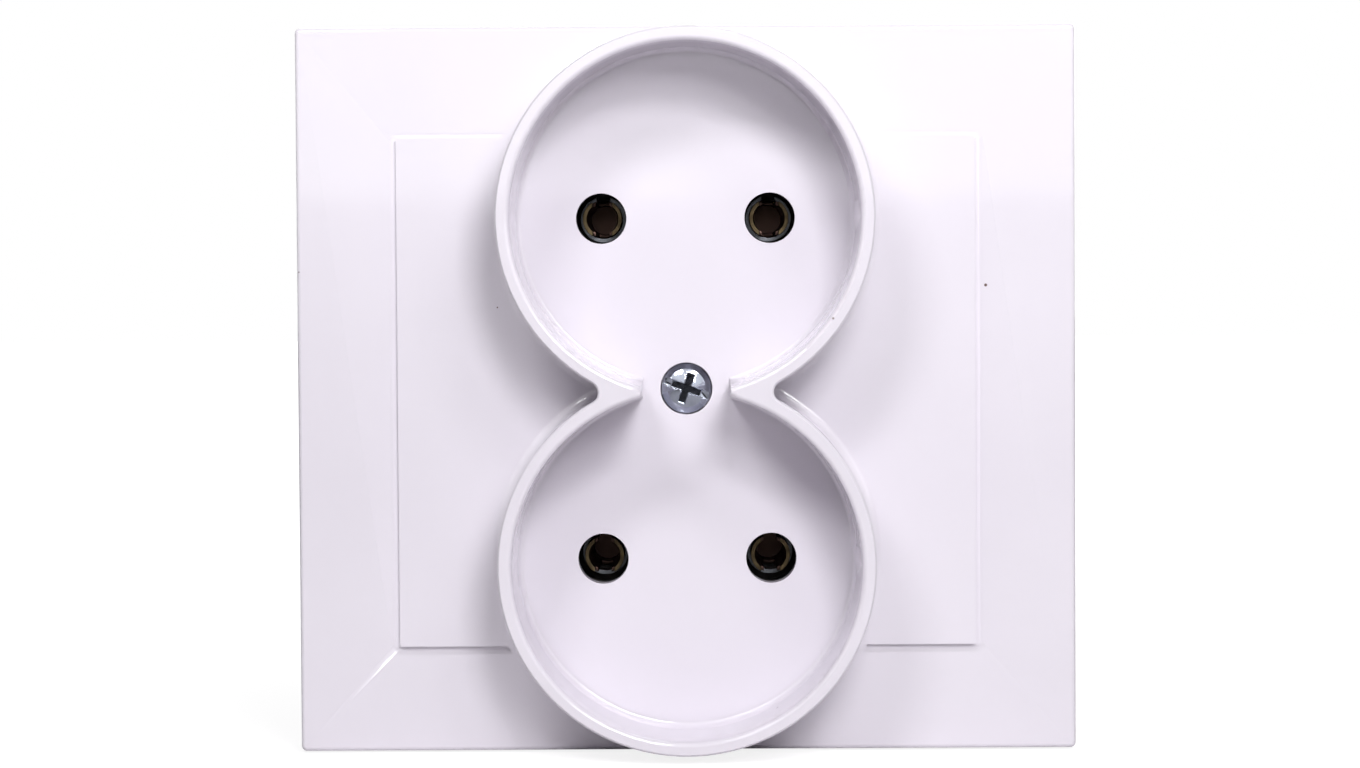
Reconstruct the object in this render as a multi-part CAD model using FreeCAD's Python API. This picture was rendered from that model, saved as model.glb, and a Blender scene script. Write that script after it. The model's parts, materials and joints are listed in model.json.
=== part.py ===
import FreeCAD, Part

import math
import os

# Twin wall socket for plugs with two round pins, flush mounted in a round wall box.
# Millimetres. X runs to the right of the cover, Y into the wall and Z up.
# The origin is the middle of the box-screw pattern, on the wall plane.

# Outlets
outlet_pitch = 38.45
pin_pitch = 19.0
pin_hole_r = 2.85

# Cover
cover_w = 87.5
cover_h = 81.5
cover_rise = 9.0
cover_corner_r = 0.6
cover_edge_round = 0.5
cover_draft = 0.25
front_wall = 2.0
skirt_wall = 1.8
recess_rim_r = 19.3
recess_draft = 0.3
recess_depth = 12.0
recess_sink = 1.5
recess_floor_wall = 2.2
recess_floor_bevel = 0.4
collar_wall = 1.55
collar_rim_round = 0.55
collar_outer_bevel = 0.2
collar_foot_fillet = 1.2
waist_fill = 1.58
waist_cut_r = 5.0
boss_r = 4.2
boss_length = 2.3
rib_wall = 1.0
rib_depth = 3.0
rib_heights = (10.0, 28.5)
rib_overlap = 1.0

# Decorative groove round the outlets
groove_w = 66.8
groove_h = 59.1
groove_width = 0.9
groove_depth = 0.5
groove_slope = 0.35
groove_corner_r = 1.0
groove_inner_corner_r = 0.3
groove_end_gap = 0.4
groove_drop = 0.3

# Cover screw and the threaded bush that it turns in
cover_screw_r = 1.5
cover_screw_head_r = 2.825
cover_screw_head_side = 1.1
cover_screw_head_dome = 0.9
cover_screw_length = 9.5
cover_screw_sink = 0.1
cover_screw_turn_deg = 20.0
head_clearance = 0.125
drive_slot_w = 0.85
drive_depth = 0.9
drive_cross_step = 0.5
drive_cross_r = 1.75
bush_r = 3.0
bush_flange_r = 3.6
bush_flange = 0.8
bush_length = 6.8
bush_relief = 3.0

# Mounting strap
strap_side_gap = 6.45
strap_end_gap = 3.45
strap_corner_r = 4.0
sheet = 1.2
window_half_w = 18.5
window_r = 27.1
box_screw_pitch = 60.0
box_slot_length = 5.0
box_slot_r = 1.8
strap_screw_x = 21.8
strap_screw_z = 12.5
strap_screw_r = 1.25
strap_screw_head_r = 2.3
strap_screw_head = 1.4
strap_screw_length = 9.2
strap_screw_turn_deg = 35.0

# Insulating contact cover, and the base behind it
base_r = 28.0
base_depth = 20.5
base_edge = 1.0
island_gap = 0.5
island_edge = 0.5
flange_wall = 1.5
window_clearance = 0.5
channel_wall_x = 17.6
channel_half_h = 7.0
mouth_r = 3.3
cavity_r = 4.2
well_floor = 13.0
well_side_gap = 0.8
well_end_gap = 0.8
well_corner_r = 2.0
core_half_w = 3.4
core_start = 8.0
core_end = 23.0
core_floor = 4.0
shoulder_core_r = 2.6
shoulder_wall = 2.0

# Contacts, springs and pole bars
contact_r = 1.7
contact_wall = 0.45
contact_inset = 1.8
contact_flare = 0.1
contact_flare_length = 1.0
contact_slit = 1.5
contact_slit_end = 8.5
contact_mouth_slit = 2.2
contact_plate = 1.0
rivet_r = 1.2
rivet_head_r = 2.0
rivet_head = 0.7
rivet_edge = 0.4
spring_gap = 0.05
spring_wall = 0.45
spring_length = 3.0
spring_start = 5.0
bar_wall = 1.0
bar_width = 7.0

# Terminals
terminal_screw_r = 1.45
terminal_screw_head_r = 2.7
terminal_screw_head = 2.0
terminal_screw_length = 7.0
terminal_screw_turn_deg = 25.0
clamp_size = 7.2
clamp_wall = 1.2
clamp_lip = 1.0
clamp_lip_wall = 0.7
clamp_lip_half = 2.5
clamp_hole_gap = 0.2
clamp_rest_gap = 0.3
terminal_relief_r = 1.9
terminal_relief_end = 7.0

# Spreading claws
claw_pivot_x = 20.0
claw_pivot_y = 4.0
claw_tilt_deg = 11.0
claw_wall = 1.0
claw_half_w = 3.9
claw_arm_x = 27.1
claw_arm_end = 18.5
claw_barb = 1.2
claw_barb_length = 3.0
claw_teeth = 3
claw_tooth_depth = 1.4
claw_tooth_gap = 1.8
claw_knuckle_r = 1.8
claw_collar_r = 2.8
claw_collar_length = 1.6
claw_thread_hole_r = 2.0
claw_pin_r = 0.8
claw_pin_head_r = 1.3
claw_pin_head = 0.5
claw_side_gap = 0.3
cheek_depth = 6.2
cheek_x0 = 18.8
cheek_width = 3.0
cheek_relief = 0.6
claw_screw_x = 24.2
claw_screw_r = 1.5
claw_screw_head_r = 2.6
claw_screw_head = 2.0
claw_screw_length = 15.2
claw_screw_turns_deg = (-25.0, 55.0)
screw_slot_w = 0.8
screw_slot_depth = 0.9
screw_head_bevel = 0.5
screw_point_bevel = 0.4

# Clearances
running_gap = 0.05
through_gap = 0.2
loose_gap = 0.4

# Cutters run past the faces that they cut by this much
past = 1.0

# Places that follow from the sizes above
half_pitch = outlet_pitch / 2
pin_x = pin_pitch / 2
front_y = -cover_rise
rim_y = front_y + recess_sink - recess_depth
floor_y = front_y + recess_sink
floor_back_y = floor_y + recess_floor_wall
recess_floor_r = recess_rim_r - recess_draft
collar_r = recess_rim_r + collar_wall
head_seat_y = floor_y + cover_screw_head_side + cover_screw_head_dome + cover_screw_sink
boss_end_y = floor_back_y + boss_length
island_y = floor_back_y + island_gap
boss_seat_y = boss_end_y + through_gap
bush_end_y = boss_seat_y + bush_length
contact_y = island_y + contact_inset
contact_outer_r = contact_r + contact_wall
bar_half_length = half_pitch + bar_width / 2
clamp_y = well_floor + bar_wall + clamp_rest_gap
cheek_z = claw_half_w + claw_side_gap
strap_w = cover_w - 2 * (skirt_wall + strap_side_gap)
strap_h = cover_h - 2 * (skirt_wall + strap_end_gap)

AXIS_Y = FreeCAD.Vector(0, 1, 0)
AXIS_Z = FreeCAD.Vector(0, 0, 1)
SIDES = (-1, 1)


def vec(x, y, z):
    return FreeCAD.Vector(x, y, z)


def rod(radius, y0, y1, x=0.0, z=0.0):
    """Cylinder along Y."""
    return Part.makeCylinder(radius, y1 - y0, vec(x, y0, z), AXIS_Y)


def ring(inner_r, outer_r, y0, y1, x=0.0, z=0.0):
    """Tube along Y."""
    return rod(outer_r, y0, y1, x, z).cut(rod(inner_r, y0 - past, y1 + past, x, z))


def block(x0, x1, y0, y1, z0, z1):
    return Part.makeBox(x1 - x0, y1 - y0, z1 - z0, vec(x0, y0, z0))


def line(start, end):
    return Part.LineSegment(start, end).toShape()


def arc(start, middle, end):
    return Part.Arc(start, middle, end).toShape()


def rounded_rect(width, height, radius, y, x=0.0, z=0.0):
    """Closed outline with round corners, in the plane at y."""
    across = width / 2 - radius
    up = height / 2 - radius
    corners = [(across, up), (-across, up), (-across, -up), (across, -up)]

    def on_corner(index, degrees):
        cx, cz = corners[index % 4]
        turn = math.radians(90 * (index % 4) + degrees)
        return vec(x + cx + radius * math.cos(turn), y, z + cz + radius * math.sin(turn))

    edges = []
    for index in range(4):
        edges.append(arc(on_corner(index, 0), on_corner(index, 45), on_corner(index, 90)))
        edges.append(line(on_corner(index, 90), on_corner(index + 1, 0)))
    return Part.Wire(edges)


def prism(outline, depth):
    """Solid from an outline in a plane across Y, carried along Y."""
    return Part.Face(outline).extrude(vec(0, depth, 0))


def slot(length, radius, x, z, y0, y1):
    """Round-ended slot along X."""
    reach = length / 2 - radius
    middle = block(x - reach, x + reach, y0, y1, z - radius, z + radius)
    return middle.fuse([rod(radius, y0, y1, x - reach, z), rod(radius, y0, y1, x + reach, z)])


def edges_at(shape, y):
    """Edges that lie in the plane at y."""
    flat = 1e-6
    found = []
    for edge in shape.Edges:
        box = edge.BoundBox
        if abs(box.YMin - y) < flat and abs(box.YMax - y) < flat:
            found.append(edge)
    return found


def slotted_screw(shank_r, length, head_r, head_h):
    """Pan-head screw along +Y, with the underside of its head at the origin."""
    head = rod(head_r, -head_h, 0)
    head = head.makeChamfer(screw_head_bevel, edges_at(head, -head_h))
    shank = rod(shank_r, 0, length)
    shank = shank.makeChamfer(screw_point_bevel, edges_at(shank, length))
    half = screw_slot_w / 2
    cut = block(-head_r, head_r, -head_h - past, -head_h + screw_slot_depth, -half, half)
    return head.fuse(shank).cut(cut).removeSplitter()


def twin_outline(radius, fill, y):
    """Outline round both outlets: two large arcs with a concave arc at each side of the waist.

    The waist stands out by fill from the line where the two large circles cross, if they do.
    """
    crossing = math.sqrt(max(radius**2 - half_pitch**2, 0))
    waist = crossing + fill
    notch = (half_pitch**2 + waist**2 - radius**2) / (2 * (radius - waist))
    reach = waist + notch
    share = radius / (radius + notch)

    def touch(side, level):
        return vec(side * reach * share, y, level * half_pitch * (1 - share))

    top = arc(touch(1, 1), vec(0, y, half_pitch + radius), touch(-1, 1))
    left = arc(touch(-1, 1), vec(notch - reach, y, 0), touch(-1, -1))
    bottom = arc(touch(-1, -1), vec(0, y, -half_pitch - radius), touch(1, -1))
    right = arc(touch(1, -1), vec(reach - notch, y, 0), touch(1, 1))
    return Part.Wire([top, left, bottom, right])


def turned(points_and_arcs, z):
    """Solid of revolution about the outlet axis at height z, from edges of (radius, y) points."""
    edges = []
    for piece in points_and_arcs:
        places = [vec(r, y, z) for r, y in piece]
        edges.append(line(*places) if len(places) == 2 else arc(*places))
    return Part.Face(Part.Wire(edges)).revolve(vec(0, 0, z), AXIS_Y, 360)


def recess_cutter(z):
    """The bowl of one outlet: flat floor, drafted wall and a rounded lip."""
    lip = collar_rim_round
    bend = math.sqrt(0.5)
    lip_mid = (recess_rim_r + lip - lip * bend, rim_y + lip - lip * bend)
    foot_in = (recess_floor_r - recess_floor_bevel, floor_y)
    foot_out = (recess_floor_r, floor_y - recess_floor_bevel)
    lip_in = (recess_rim_r, rim_y + lip)
    lip_out = (recess_rim_r + lip, rim_y)
    above_out = (recess_rim_r + lip, rim_y - past)
    above_in = (0, rim_y - past)
    centre = (0, floor_y)
    return turned(
        [
            (centre, foot_in),
            (foot_in, foot_out),
            (foot_out, lip_in),
            (lip_in, lip_mid, lip_out),
            (lip_out, above_out),
            (above_out, above_in),
            (above_in, centre),
        ],
        z,
    )


def collar_foot(z):
    """Concave fillet where one collar rises from the front of the plate."""
    fillet = collar_foot_fillet
    bend = math.sqrt(0.5)
    sunk = front_wall / 2
    inner = collar_r - collar_wall / 2
    low_in = (inner, front_y + sunk)
    low_out = (collar_r + fillet, front_y + sunk)
    foot = (collar_r + fillet, front_y)
    middle = (collar_r + fillet - fillet * bend, front_y - fillet + fillet * bend)
    top = (collar_r, front_y - fillet)
    top_in = (inner, front_y - fillet)
    body = turned(
        [
            (low_in, low_out),
            (low_out, foot),
            (foot, middle, top),
            (top, top_in),
            (top_in, low_in),
        ],
        z,
    )
    across = cover_w / 2
    up = cover_h / 2 - cover_edge_round
    return body.common(block(-across, across, rim_y, 0, -up, up))


def groove_cutter():
    """Shallow groove with a sharp inner side and a sloped outer side, ending beside the collars."""
    low = -groove_drop
    outlines = []
    for step in (-1, 1):
        wide = groove_w - 2 * step * groove_slope
        tall = groove_h - 2 * step * groove_slope
        y = front_y + step * groove_depth
        outlines.append(rounded_rect(wide, tall, groove_corner_r, y, 0, low))
    outer = Part.makeLoft(outlines, True, True)
    inner_w = groove_w - 2 * groove_width
    inner_h = groove_h - 2 * groove_width
    inner = rounded_rect(inner_w, inner_h, groove_inner_corner_r, front_y - past, 0, low)
    inner = prism(inner, 2 * past)
    reach = collar_r + collar_foot_fillet + groove_end_gap
    stops = [rod(reach, front_y - past, front_y + past, 0, level * half_pitch) for level in SIDES]
    return outer.cut([inner] + stops)


def plate_shell():
    """Drafted plate with a rounded front edge, open at the back."""
    wide = cover_w + 2 * cover_draft
    tall = cover_h + 2 * cover_draft
    outside = Part.makeLoft(
        [
            rounded_rect(wide, tall, cover_corner_r, 0),
            rounded_rect(cover_w, cover_h, cover_corner_r, front_y),
        ],
        True,
        True,
    )
    outside = outside.makeFillet(cover_edge_round, edges_at(outside, front_y))
    thick = 2 * skirt_wall
    inside = Part.makeLoft(
        [
            rounded_rect(wide - thick, tall - thick, cover_corner_r, 0),
            rounded_rect(cover_w - thick, cover_h - thick, cover_corner_r, front_y + front_wall),
        ],
        True,
        True,
    )
    return outside.cut(inside)


def cover_ribs():
    """Ribs behind the plate, from the outlet floor out to the skirt."""
    ribs = []
    x1 = cover_w / 2 - skirt_wall / 2
    y0 = front_y + front_wall / 2
    y1 = front_y + front_wall + rib_depth
    for side in SIDES:
        for level in SIDES:
            for height in rib_heights:
                on_collar = math.sqrt(collar_r**2 - (height - half_pitch) ** 2)
                x0 = max(on_collar - rib_overlap, window_half_w)
                near, far = sorted((side * x0, side * x1))
                low = level * height - rib_wall / 2
                ribs.append(block(near, far, y0, y1, low, low + rib_wall))
    return ribs


def cover():
    collar = prism(twin_outline(collar_r, waist_fill, rim_y), floor_back_y - rim_y)
    collar = collar.makeChamfer(collar_outer_bevel, edges_at(collar, rim_y))
    feet = [collar_foot(level * half_pitch) for level in SIDES]
    boss = rod(boss_r, floor_y, boss_end_y)
    body = plate_shell().fuse([collar, boss] + feet + cover_ribs())
    cuts = [recess_cutter(level * half_pitch) for level in SIDES]
    cuts.append(rod(waist_cut_r, rim_y - past, floor_y))
    cuts.append(rod(cover_screw_head_r + head_clearance, floor_y - past, head_seat_y))
    cuts.append(rod(cover_screw_r + through_gap, floor_y - past, boss_end_y + past))
    for side in SIDES:
        for level in SIDES:
            x, z = side * pin_x, level * half_pitch
            cuts.append(rod(pin_hole_r, floor_y - past, floor_back_y + past, x, z))
    cuts.append(groove_cutter())
    return body.cut(cuts).removeSplitter()


def cover_screw():
    """Raised-head screw with a slot crossed by a shorter recess."""
    side = cover_screw_head_side
    dome = cover_screw_head_dome
    radius = cover_screw_head_r
    centre = (0, 0)
    seat = (radius, 0)
    edge = (radius, -side)
    middle = (radius / 2, -side - dome * 3 / 4)
    top = (0, -side - dome)
    head = turned([(centre, seat), (seat, edge), (edge, middle, top), (top, centre)], 0)
    shank = rod(cover_screw_r, 0, cover_screw_length)
    shank = shank.makeChamfer(screw_point_bevel, edges_at(shank, cover_screw_length))
    y0 = -side - dome - past
    y1 = -side - dome + drive_depth
    cross_y = y1 + drive_cross_step
    half = drive_slot_w / 2
    long_slot = block(-radius, radius, y0, y1, -half, half)
    arms = [
        block(-half, half, y0, cross_y, -drive_cross_r, drive_cross_r),
        block(-drive_cross_r, drive_cross_r, y0, cross_y, -half, half),
    ]
    screw = head.fuse(shank).cut([long_slot] + arms)
    screw.rotate(vec(0, 0, 0), AXIS_Y, cover_screw_turn_deg)
    screw.translate(vec(0, head_seat_y, 0))
    return screw.removeSplitter()


def cover_bush():
    """Threaded brass bush, pressed through the contact cover into the base up to its flange."""
    body = rod(bush_r, boss_seat_y, bush_end_y)
    flange = rod(bush_flange_r, boss_seat_y, boss_seat_y + bush_flange)
    hole = rod(cover_screw_r + running_gap, boss_seat_y - past, bush_end_y + past)
    return body.fuse(flange).cut(hole).removeSplitter()


def mounting_strap():
    """Sheet steel strap with a window for the base and two folded cheeks for each claw."""
    plate = prism(rounded_rect(strap_w, strap_h, strap_corner_r, -sheet), sheet)
    front = -sheet - past
    opening = rod(window_r, front, past)
    opening = opening.common(block(-window_half_w, window_half_w, front, past, -window_r, window_r))
    cuts = [opening]
    folds = []
    cheek_x1 = cheek_x0 + cheek_width
    for side in SIDES:
        cuts.append(slot(box_slot_length, box_slot_r, side * box_screw_pitch / 2, 0, front, past))
        cuts.append(rod(claw_screw_r + through_gap, front, past, side * claw_screw_x, 0))
        near, far = sorted((side * (window_half_w - past), side * (cheek_x1 - cheek_relief)))
        cuts.append(block(near, far, front, past, -cheek_z, cheek_z))
        for level in SIDES:
            x, z = side * strap_screw_x, level * strap_screw_z
            cuts.append(rod(strap_screw_r + through_gap, front, past, x, z))
            near, far = sorted((side * cheek_x0, side * cheek_x1))
            low, high = sorted((level * cheek_z, level * (cheek_z + sheet)))
            folds.append(block(near, far, -sheet / 2, cheek_depth, low, high))
    strap = plate.cut(cuts).fuse(folds)
    pivots = []
    for side in SIDES:
        reach = cheek_z + 2 * sheet
        place = vec(side * claw_pivot_x, claw_pivot_y, -reach)
        pivots.append(Part.makeCylinder(claw_pin_r, 2 * reach, place, AXIS_Z))
    return strap.cut(pivots).removeSplitter()


def strap_screws():
    """Four screws that hold the strap and the contact cover on the base."""
    sizes = (strap_screw_r, strap_screw_length, strap_screw_head_r, strap_screw_head)
    screws = []
    for side in SIDES:
        for level in SIDES:
            screw = slotted_screw(*sizes)
            screw.rotate(vec(0, 0, 0), AXIS_Y, side * level * strap_screw_turn_deg)
            screw.translate(vec(side * strap_screw_x, -sheet, level * strap_screw_z))
            screws.append(screw)
    return Part.makeCompound(screws)


def side_channels(y0, y1):
    """Cutters for the two channels in which the claws lie."""
    cutters = []
    for side in SIDES:
        near, far = sorted((side * channel_wall_x, side * (base_r + past)))
        cutters.append(block(near, far, y0, y1, -channel_half_h, channel_half_h))
    return cutters


def contact_cover():
    """Insulating plate over the contacts: an island in the strap's window, a flange behind the strap."""
    half_w = window_half_w - window_clearance
    island_r = window_r - window_clearance
    island = rod(island_r, island_y, flange_wall)
    island = island.common(block(-half_w, half_w, island_y, flange_wall, -island_r, island_r))
    island = island.makeChamfer(island_edge, edges_at(island, island_y))
    body = island.fuse(rod(base_r, 0, flange_wall))
    behind = flange_wall + past
    cuts = side_channels(-past, behind)
    cuts.append(rod(boss_r + loose_gap, island_y - past, boss_seat_y))
    cuts.append(rod(bush_flange_r, boss_seat_y - past, boss_seat_y + bush_flange))
    cuts.append(rod(bush_r, boss_seat_y, behind))
    for side in SIDES:
        for level in SIDES:
            cuts.append(rod(mouth_r, island_y - past, behind, side * pin_x, level * half_pitch))
            x, z = side * strap_screw_x, level * strap_screw_z
            cuts.append(rod(strap_screw_r + through_gap, -past, behind, x, z))
    return body.cut(cuts).removeSplitter()


def socket_base():
    """Round insulating body: side channels, contact cavities, rear wells and weight-saving pockets."""
    body = rod(base_r, flange_wall, base_depth)
    body = body.makeChamfer(base_edge, edges_at(body, base_depth))
    front = flange_wall - past
    behind = base_depth + past
    cuts = side_channels(front, behind)
    cuts.append(rod(bush_r, front, bush_end_y))
    cuts.append(rod(cover_screw_r + loose_gap, front, bush_end_y + bush_relief))
    well_w = bar_width + 2 * well_side_gap
    well_h = 2 * (bar_half_length + well_end_gap)
    hole_end = strap_screw_length - sheet
    for side in SIDES:
        outline = rounded_rect(well_w, well_h, well_corner_r, well_floor, side * pin_x, 0)
        cuts.append(prism(outline, behind - well_floor))
        cuts.append(rod(terminal_relief_r, terminal_relief_end, behind, side * pin_x, 0))
        for level in SIDES:
            cuts.append(rod(cavity_r, front, well_floor, side * pin_x, level * half_pitch))
            x, z = side * strap_screw_x, level * strap_screw_z
            cuts.append(rod(strap_screw_r, front, hole_end, x, z))
            cuts.append(rod(shoulder_core_r, hole_end + shoulder_wall, behind, x, z))
    for level in SIDES:
        low, high = sorted((level * core_start, level * core_end))
        height, middle = high - low, (low + high) / 2
        pocket = rounded_rect(2 * core_half_w, height, well_corner_r, core_floor, 0, middle)
        cuts.append(prism(pocket, behind - core_floor))
    return body.cut(cuts).removeSplitter()


def pole_bar(side):
    """Brass strip that joins the two contacts of one pole and carries its terminal."""
    y0 = well_floor
    x = side * pin_x
    half = bar_width / 2
    strip = block(x - half, x + half, y0, y0 + bar_wall, -half_pitch, half_pitch)
    ends = [rod(half, y0, y0 + bar_wall, x, level * half_pitch) for level in SIDES]
    front, behind = y0 - past, y0 + bar_wall + past
    holes = [rod(rivet_r, front, behind, x, level * half_pitch) for level in SIDES]
    holes.append(rod(terminal_screw_r + running_gap, front, behind, x, 0))
    return strip.fuse(ends).cut(holes).removeSplitter()


def contact(side, level):
    """Split brass tube: two leaves with their corners cut back, a flared mouth, a rivet for its pole bar."""
    x, z = side * pin_x, level * half_pitch
    flare_end = contact_y + contact_flare_length
    plate_y = well_floor - contact_plate
    tube = rod(contact_outer_r, flare_end, well_floor, x, z)
    tube = tube.cut(rod(contact_r, flare_end - past, plate_y, x, z))
    place = vec(x, contact_y, z)
    flares = []
    for radius in (contact_outer_r, contact_r):
        wide = radius + contact_flare
        flares.append(Part.makeCone(wide, radius, contact_flare_length, place, AXIS_Y))
    mouth = flares[0].cut(flares[1])
    reach = contact_outer_r + past
    slits = []
    for width, end in ((contact_slit, contact_slit_end), (contact_mouth_slit, flare_end)):
        slits.append(block(x - width / 2, x + width / 2, contact_y - past, end, z - reach, z + reach))
    head_y = well_floor + bar_wall
    rivet = rod(rivet_r, plate_y, head_y + rivet_head, x, z)
    head = rod(rivet_head_r, head_y, head_y + rivet_head, x, z)
    head = head.makeChamfer(rivet_edge, edges_at(head, head_y + rivet_head))
    return tube.fuse(mouth).cut(slits).fuse([rivet, head]).removeSplitter()


def contact_spring(side, level):
    """Steel ring, open at the top, that presses the two leaves together."""
    x, z = side * pin_x, level * half_pitch
    y0 = contact_y + spring_start
    inner = contact_outer_r + spring_gap
    band = ring(inner, inner + spring_wall, y0, y0 + spring_length, x, z)
    half = contact_slit / 2
    behind = y0 + spring_length + past
    opening = block(x - half, x + half, y0 - past, behind, z, z + 2 * inner)
    return band.cut(opening)


def terminal_clamp(side):
    """Square washer with two turned-up lips, which presses a wire on the pole bar."""
    x = side * pin_x
    half = clamp_size / 2
    plate = block(x - half, x + half, clamp_y, clamp_y + clamp_wall, -half, half)
    lips = []
    for edge in SIDES:
        near, far = sorted((x + edge * half, x + edge * (half - clamp_lip_wall)))
        lip_end = clamp_y + clamp_wall + clamp_lip
        lips.append(block(near, far, clamp_y, lip_end, -clamp_lip_half, clamp_lip_half))
    hole = rod(terminal_screw_r + clamp_hole_gap, clamp_y - past, clamp_y + clamp_wall + past, x, 0)
    return plate.fuse(lips).cut(hole).removeSplitter()


def terminal_screw(side):
    """Wire-clamping screw with its head at the back of the base."""
    sizes = (terminal_screw_r, terminal_screw_length, terminal_screw_head_r, terminal_screw_head)
    screw = slotted_screw(*sizes)
    screw.rotate(vec(0, 0, 0), AXIS_Z, 180)
    screw.rotate(vec(0, 0, 0), AXIS_Y, terminal_screw_turn_deg * side)
    screw.translate(vec(side * pin_x, clamp_y + clamp_wall, 0))
    return screw


def claw_right():
    """Sheet steel lever: knuckle on its pin, tab with a collar for the screw, arm with barbed teeth."""
    tilt = math.radians(claw_tilt_deg)
    bend_y = claw_pivot_y + (claw_arm_x - claw_pivot_x) * math.tan(tilt)
    path = [
        vec(claw_pivot_x, claw_pivot_y, -claw_half_w),
        vec(claw_arm_x, bend_y, -claw_half_w),
        vec(claw_arm_x, claw_arm_end - claw_barb_length, -claw_half_w),
        vec(claw_arm_x + claw_barb, claw_arm_end, -claw_half_w),
    ]
    outline = Part.makePolygon(path).makeOffset2D(claw_wall / 2, 0, False, False, False)
    width = vec(0, 0, 2 * claw_half_w)
    strip = Part.Face(outline).extrude(width)
    pivot = vec(claw_pivot_x, claw_pivot_y, -claw_half_w)
    knuckle = Part.makeCylinder(claw_knuckle_r, 2 * claw_half_w, pivot, AXIS_Z)
    across = vec(-math.sin(tilt), math.cos(tilt), 0)
    along = claw_screw_x - claw_pivot_x
    hub = vec(claw_screw_x, claw_pivot_y + along * math.tan(tilt), 0)
    collar = Part.makeCylinder(claw_collar_r, claw_collar_length, hub, across)
    start = hub - across * claw_collar_length
    below = pivot - AXIS_Z * past
    cuts = [
        Part.makeCylinder(claw_thread_hole_r, 3 * claw_collar_length, start, across),
        Part.makeCylinder(claw_pin_r + running_gap, 2 * (claw_half_w + past), below, AXIS_Z),
    ]
    tooth_w = 2 * claw_half_w / claw_teeth
    x0 = claw_arm_x - claw_wall - past
    end = claw_arm_end + past
    through = vec(claw_barb + 2 * (claw_wall + past), 0, 0)
    for index in range(1, claw_teeth):
        z0 = -claw_half_w + index * tooth_w
        low = vec(x0, end, z0 - claw_tooth_gap / 2)
        high = vec(x0, end, z0 + claw_tooth_gap / 2)
        root = vec(x0, claw_arm_end - claw_tooth_depth, z0)
        cuts.append(Part.Face(Part.makePolygon([low, high, root, low])).extrude(through))
    return strip.fuse([knuckle, collar]).cut(cuts).removeSplitter()


def claw_pin(side):
    """Pivot pin of one claw, with a flat head outside each cheek."""
    outer = cheek_z + sheet
    x, y = side * claw_pivot_x, claw_pivot_y
    pin = Part.makeCylinder(claw_pin_r, 2 * outer, vec(x, y, -outer), AXIS_Z)
    heads = [
        Part.makeCylinder(claw_pin_head_r, claw_pin_head, vec(x, y, outer), AXIS_Z),
        Part.makeCylinder(claw_pin_head_r, claw_pin_head, vec(x, y, -outer - claw_pin_head), AXIS_Z),
    ]
    return pin.fuse(heads).removeSplitter()


def claw_screw(side):
    """Screw that spreads one claw, with its head on the front of the strap."""
    screw = slotted_screw(claw_screw_r, claw_screw_length, claw_screw_head_r, claw_screw_head)
    screw.rotate(vec(0, 0, 0), AXIS_Y, claw_screw_turns_deg[SIDES.index(side)])
    screw.translate(vec(side * claw_screw_x, -sheet, 0))
    return screw


def mirrored(shape):
    """The same shape on the other side of the middle plane."""
    return shape.mirror(vec(0, 0, 0), vec(1, 0, 0))


def build():
    parts = {
        "cover": cover(),
        "cover_screw": cover_screw(),
        "cover_bush": cover_bush(),
        "mounting_strap": mounting_strap(),
        "strap_screws": strap_screws(),
        "contact_cover": contact_cover(),
        "socket_base": socket_base(),
        "claw_right": claw_right(),
    }
    parts["claw_left"] = mirrored(parts["claw_right"])
    for side, name in zip(SIDES, ("left", "right")):
        parts["pole_bar_" + name] = pole_bar(side)
        parts["terminal_clamp_" + name] = terminal_clamp(side)
        parts["terminal_screw_" + name] = terminal_screw(side)
        parts["claw_pin_" + name] = claw_pin(side)
        parts["claw_screw_" + name] = claw_screw(side)
        for level, height in zip(SIDES, ("lower", "upper")):
            parts["contact_" + height + "_" + name] = contact(side, level)
            parts["contact_spring_" + height + "_" + name] = contact_spring(side, level)
    return parts


def main():
    os.makedirs("parts", exist_ok=True)
    for name, shape in build().items():
        shape.exportStep("parts/" + name + ".step")
        print(name, len(shape.Solids), shape.isValid(), round(shape.Volume, 2))


main()
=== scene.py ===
import json
import math

import bmesh
import bpy
from bpy.props import FloatProperty, FloatVectorProperty, IntProperty, PointerProperty
from bpy.types import Operator, Panel, PropertyGroup
from mathutils import Matrix, Vector


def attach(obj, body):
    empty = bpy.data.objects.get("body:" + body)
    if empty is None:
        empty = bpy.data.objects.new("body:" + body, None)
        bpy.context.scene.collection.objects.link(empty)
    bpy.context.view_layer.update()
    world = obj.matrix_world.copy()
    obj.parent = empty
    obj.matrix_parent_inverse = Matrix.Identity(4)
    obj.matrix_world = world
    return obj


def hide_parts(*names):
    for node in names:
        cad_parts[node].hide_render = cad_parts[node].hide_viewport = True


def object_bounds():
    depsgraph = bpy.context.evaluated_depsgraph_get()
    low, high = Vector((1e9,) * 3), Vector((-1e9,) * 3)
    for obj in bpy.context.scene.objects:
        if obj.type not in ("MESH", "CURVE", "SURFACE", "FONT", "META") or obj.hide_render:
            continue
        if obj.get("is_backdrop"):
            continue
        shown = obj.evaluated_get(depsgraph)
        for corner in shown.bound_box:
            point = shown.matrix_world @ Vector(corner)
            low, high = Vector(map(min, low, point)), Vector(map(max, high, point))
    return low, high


bl_info = {
    "name": "Twin socket finish",
    "version": (1, 0, 0),
    "blender": (4, 5, 0),
    "location": "3D View > Sidebar > Socket",
    "description": "Dresses the packed twin wall socket and lights it for its picture",
    "category": "Object",
}

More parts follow.
